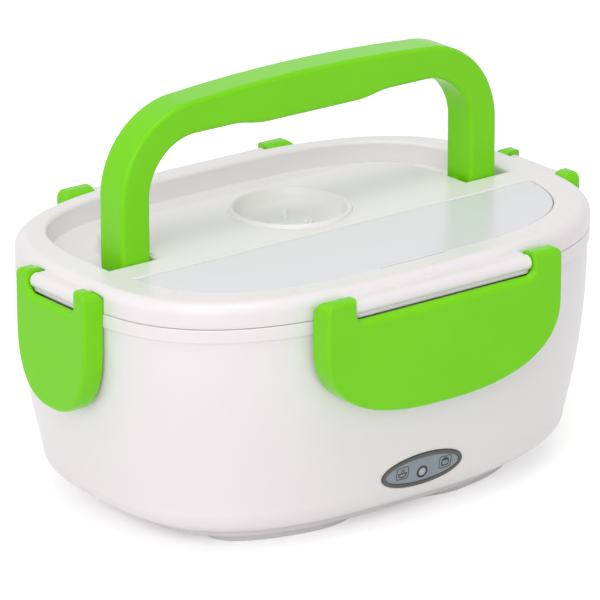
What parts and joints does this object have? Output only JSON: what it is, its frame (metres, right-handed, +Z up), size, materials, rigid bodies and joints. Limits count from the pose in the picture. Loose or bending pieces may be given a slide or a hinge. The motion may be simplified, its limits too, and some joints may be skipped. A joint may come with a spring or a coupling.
{
  "type": "electric lunch box",
  "caption": "Tapering heated lunch box with a clipped lift-off lid, a folding carry handle, a covered cutlery compartment, a vent dish and a food container.",
  "frame": {"origin": "middle of the underside of the feet, at the table", "axes": "+X along the long side to the right, -Y out of the front with the indicator panel, +Z up"},
  "size_m": [0.242, 0.176, 0.1668],
  "materials": {
    "white_plastic": "satin moulded polypropylene",
    "foot_plastic": "matt moulded plastic",
    "screw_steel": "plated steel",
    "silicone": "soft matt silicone",
    "plate_aluminium": "rolled sheet",
    "block_aluminium": "extruded",
    "clamp_steel": "plated strip",
    "thermostat_case": "moulded phenolic",
    "fuse_case": "ceramic body",
    "black_plastic": "matt moulded",
    "pin_metal": "plated brass",
    "board": "solder-masked board",
    "led": "tinted epoxy",
    "bezel_grey": "satin dark grey",
    "panel_slate": "printed film",
    "lens": "clear moulded",
    "wire_red": "insulation",
    "wire_black": "insulation",
    "container_plastic": "smooth moulded polypropylene",
    "tray_plastic": "translucent moulded",
    "clear_cover": "frosted clear moulded",
    "plug_silicone": "translucent silicone",
    "green_plastic": "satin moulded polypropylene"
  },
  "bodies": {
    "base": {"outer_shell": "white_plastic", "bottom_cover": "white_plastic", "corner_feet": "foot_plastic", "cover_screws": "screw_steel", "inner_liner": "white_plastic", "plate_seal": "silicone", "heating_plate": "plate_aluminium", "heater_block": "block_aluminium", "heater_clamp": "clamp_steel", "clamp_screws": "screw_steel", "thermostat": "thermostat_case", "thermal_fuse": "fuse_case", "inlet_housing": "black_plastic", "inlet_pins": "pin_metal", "indicator_board": "board", "indicator_led": "led", "panel_bezel": "bezel_grey", "panel_face": "panel_slate", "indicator_lens": "lens", "mains_wires": "wire_red", "indicator_wires": "wire_black"},
    "container": {"food_container": "container_plastic"},
    "tray": {"divider_tray": "tray_plastic"},
    "lid": {"lid_gasket": "silicone", "lid_liner": "white_plastic", "lid_shell": "white_plastic"},
    "cover": {"compartment_cover": "clear_cover"},
    "plug": {"vent_plug": "plug_silicone"},
    "handle": {"carry_handle": "green_plastic"},
    "clip_front": {"front_clip": "green_plastic"},
    "clip_back": {"back_clip": "green_plastic"},
    "clip_left": {"left_clip": "green_plastic"},
    "clip_right": {"right_clip": "green_plastic"}
  },
  "joints": [
    {"name": "container_lift", "type": "slide", "parent": "base", "child": "container", "axis": [0, 0, 1], "range_m": [0, 0.07]},
    {"name": "tray_lift", "type": "slide", "parent": "container", "child": "tray", "axis": [0, 0, 1], "range_m": [0, 0.06]},
    {"name": "lid_lift", "type": "slide", "parent": "tray", "child": "lid", "axis": [0, 0, 1], "range_m": [0, 0.05]},
    {"name": "plug_pull", "type": "slide", "parent": "lid", "child": "plug", "axis": [0, 0, 1], "range_m": [0, 0.008]},
    {"name": "handle_fold", "type": "hinge", "parent": "lid", "child": "handle", "pos_m": [0, 0.003, 0.1036], "axis": [-1, 0, 0], "range_deg": [0, 90]},
    {"name": "cover_open", "type": "hinge", "parent": "lid", "child": "cover", "pos_m": [0, -0.0218, 0.1048], "axis": [-1, 0, 0], "range_deg": [0, 95]},
    {"name": "front_clip_swing", "type": "hinge", "parent": "lid", "child": "clip_front", "pos_m": [0, -0.0836, 0.1006], "axis": [-1, 0, 0], "range_deg": [0, 110]},
    {"name": "back_clip_swing", "type": "hinge", "parent": "lid", "child": "clip_back", "pos_m": [0, 0.0836, 0.1006], "axis": [1, 0, 0], "range_deg": [0, 110]},
    {"name": "left_clip_swing", "type": "hinge", "parent": "lid", "child": "clip_left", "pos_m": [-0.1166, 0, 0.1006], "axis": [0, 1, 0], "range_deg": [0, 110]},
    {"name": "right_clip_swing", "type": "hinge", "parent": "lid", "child": "clip_right", "pos_m": [0.1166, 0, 0.1006], "axis": [0, -1, 0], "range_deg": [0, 110]}
  ]
}
